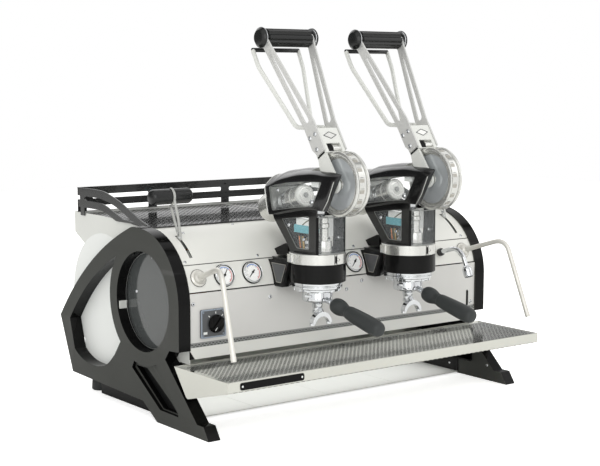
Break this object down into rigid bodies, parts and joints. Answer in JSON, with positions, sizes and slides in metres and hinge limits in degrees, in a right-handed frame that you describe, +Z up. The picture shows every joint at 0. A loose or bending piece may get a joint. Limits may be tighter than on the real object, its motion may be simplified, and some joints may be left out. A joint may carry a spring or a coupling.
{
  "type": "lever espresso machine",
  "caption": "Counter espresso machine with spring lever groups, steam wands, hot-water tap, gauges, drip tray and railed cup tray.",
  "frame": {"origin": "centre of the bounding box, at the counter", "axes": "+X to the right of someone facing the front, +Y towards the back, +Z up"},
  "size_m": [1.0012, 0.9118, 0.9513],
  "materials": {
    "stainless": "polished stainless sheet",
    "stainless_satin": "satin",
    "chrome": "bright chrome plate",
    "aluminium": "machined and polished",
    "panel_black": "satin face with gloss edges",
    "sheet_black": "black powder coat",
    "case_white": "satin white",
    "gloss_black": "gloss",
    "grip_black": "satin black grip",
    "rubber": "matt",
    "gauge_body": "bright bezel round a white dial",
    "clear": "clear"
  },
  "bodies": {
    "machine": {"base_frame": "stainless", "body_case": "case_white", "cup_rail": "sheet_black", "cup_tray": "sheet_black", "gauge_panel": "stainless", "splash_panel": "stainless", "upper_panel": "stainless", "steam_boiler": "stainless_satin", "left_gauge": "gauge_body", "middle_gauge": "gauge_body", "right_gauge": "gauge_body", "left_side_panel": "panel_black", "left_window": "clear", "left_rear_foot": "rubber", "left_group_body": "chrome", "left_group_band": "gloss_black", "left_clamp_ring": "aluminium", "left_group_bracket": "gloss_black", "left_hood": "gloss_black", "left_front_cover": "clear", "left_spring_drum": "aluminium", "left_ratchet_wheel": "aluminium", "right_side_panel": "panel_black", "right_window": "clear", "right_rear_foot": "rubber", "right_group_body": "chrome", "right_group_band": "gloss_black", "right_clamp_ring": "aluminium", "right_group_bracket": "gloss_black", "right_hood": "gloss_black", "right_front_cover": "clear", "right_spring_drum": "aluminium", "right_ratchet_wheel": "aluminium"},
    "left_lever": {"left_lever_block": "aluminium", "left_lever_arms": "stainless_satin", "left_lever_grip": "rubber"},
    "left_release": {"left_release_lever": "stainless_satin"},
    "left_plunger": {"left_piston": "chrome"},
    "left_filter_holder": {"left_portafilter": "chrome", "left_portafilter_handle": "rubber"},
    "left_wand_joint": {"left_wand_ball": "chrome"},
    "left_steam_wand": {"left_wand": "chrome"},
    "left_steam_valve_lever": {"left_steam_lever": "grip_black"},
    "right_lever": {"right_lever_block": "aluminium", "right_lever_arms": "stainless_satin", "right_lever_grip": "rubber"},
    "right_release": {"right_release_lever": "stainless_satin"},
    "right_plunger": {"right_piston": "chrome"},
    "right_filter_holder": {"right_portafilter": "chrome", "right_portafilter_handle": "rubber"},
    "right_wand_joint": {"right_wand_ball": "chrome"},
    "right_steam_wand": {"right_wand": "chrome"},
    "right_steam_valve_lever": {"right_steam_lever": "grip_black"},
    "left_pointer": {"left_needle": "gloss_black"},
    "middle_pointer": {"middle_needle": "gloss_black"},
    "right_pointer": {"right_needle": "gloss_black"},
    "water_spout": {"water_tap": "chrome"},
    "switch_knob": {"mode_knob": "gloss_black"},
    "tray": {"drip_tray": "stainless"},
    "grille": {"drip_grille": "stainless_satin"}
  },
  "joints": [
    {"name": "left_lever_pull", "type": "hinge", "parent": "machine", "child": "left_lever", "pos_m": [-0.1481, -0.31108, 0.579], "axis": [1, 0, 0], "range_deg": [0, 115]},
    {"name": "left_release_squeeze", "type": "hinge", "parent": "left_lever", "child": "left_release", "pos_m": [-0.1481, -0.20281, 0.709], "axis": [1, 0, 0], "range_deg": [0, 5], "stiffness_Nm_per_rad": 3},
    {"name": "left_piston_stroke", "type": "slide", "parent": "machine", "child": "left_plunger", "axis": [0, 0, 1], "range_m": [0, 0.046]},
    {"name": "left_portafilter_turn", "type": "hinge", "parent": "machine", "child": "left_filter_holder", "pos_m": [-0.1481, -0.21408, 0.3], "axis": [0, 0, 1], "range_deg": [-50, 0]},
    {"name": "left_wand_swing", "type": "hinge", "parent": "machine", "child": "left_wand_joint", "pos_m": [-0.433, -0.12225, 0.35699], "axis": [0, 0, 1], "range_deg": [-25, 40]},
    {"name": "left_wand_tilt", "type": "hinge", "parent": "left_wand_joint", "child": "left_steam_wand", "pos_m": [-0.433, -0.12225, 0.35699], "axis": [0.9848, -0.1736, 0], "range_deg": [-25, 3]},
    {"name": "left_steam_pull", "type": "hinge", "parent": "machine", "child": "left_steam_valve_lever", "pos_m": [-0.435, -0.00108, 0.398], "axis": [1, 0, 0], "range_deg": [0, 38]},
    {"name": "right_lever_pull", "type": "hinge", "parent": "machine", "child": "right_lever", "pos_m": [0.1481, -0.31108, 0.579], "axis": [1, 0, 0], "range_deg": [0, 115]},
    {"name": "right_release_squeeze", "type": "hinge", "parent": "right_lever", "child": "right_release", "pos_m": [0.1481, -0.20281, 0.709], "axis": [1, 0, 0], "range_deg": [0, 5], "stiffness_Nm_per_rad": 3},
    {"name": "right_piston_stroke", "type": "slide", "parent": "machine", "child": "right_plunger", "axis": [0, 0, 1], "range_m": [0, 0.046]},
    {"name": "right_portafilter_turn", "type": "hinge", "parent": "machine", "child": "right_filter_holder", "pos_m": [0.1481, -0.21408, 0.3], "axis": [0, 0, 1], "range_deg": [-50, 0]},
    {"name": "right_wand_swing", "type": "hinge", "parent": "machine", "child": "right_wand_joint", "pos_m": [0.433, -0.12225, 0.35699], "axis": [0, 0, 1], "range_deg": [-38, 15]},
    {"name": "right_wand_tilt", "type": "hinge", "parent": "right_wand_joint", "child": "right_steam_wand", "pos_m": [0.433, -0.12225, 0.35699], "axis": [0.9537, 0.3007, 0], "range_deg": [-25, 3]},
    {"name": "right_steam_pull", "type": "hinge", "parent": "machine", "child": "right_steam_valve_lever", "pos_m": [0.435, -0.00108, 0.398], "axis": [1, 0, 0], "range_deg": [0, 38]},
    {"name": "left_needle_turn", "type": "hinge", "parent": "machine", "child": "left_pointer", "pos_m": [-0.3603, -0.1204, 0.35621], "axis": [0, -0.9205, 0.3907], "range_deg": [-100, 170], "stiffness_Nm_per_rad": 0.01},
    {"name": "middle_needle_turn", "type": "hinge", "parent": "machine", "child": "middle_pointer", "pos_m": [-0.2779, -0.1204, 0.35621], "axis": [0, -0.9205, 0.3907], "range_deg": [-93, 177], "stiffness_Nm_per_rad": 0.01},
    {"name": "right_needle_turn", "type": "hinge", "parent": "machine", "child": "right_pointer", "pos_m": [0.0447, -0.1204, 0.35621], "axis": [0, -0.9205, 0.3907], "range_deg": [-97, 173], "stiffness_Nm_per_rad": 0.01},
    {"name": "water_tap_swing", "type": "hinge", "parent": "machine", "child": "water_spout", "pos_m": [0.345, -0.1204, 0.35621], "axis": [0, -0.9205, 0.3907], "range_deg": [-30, 30]},
    {"name": "mode_knob_turn", "type": "hinge", "parent": "machine", "child": "switch_knob", "pos_m": [-0.396, -0.13408, 0.246], "axis": [0, -1, 0], "range_deg": [-90, 90]},
    {"name": "drip_tray_pull", "type": "slide", "parent": "machine", "child": "tray", "axis": [0, -1, 0], "range_m": [0, 0.18]},
    {"name": "drip_grille_lift", "type": "slide", "parent": "tray", "child": "grille", "axis": [0, 0, 1], "range_m": [0, 0.025]}
  ],
  "couplings": [
    {"joint": "left_piston_stroke", "follows": "left_lever_pull", "m_per_rad": 0.0224},
    {"joint": "right_piston_stroke", "follows": "right_lever_pull", "m_per_rad": 0.0224}
  ]
}
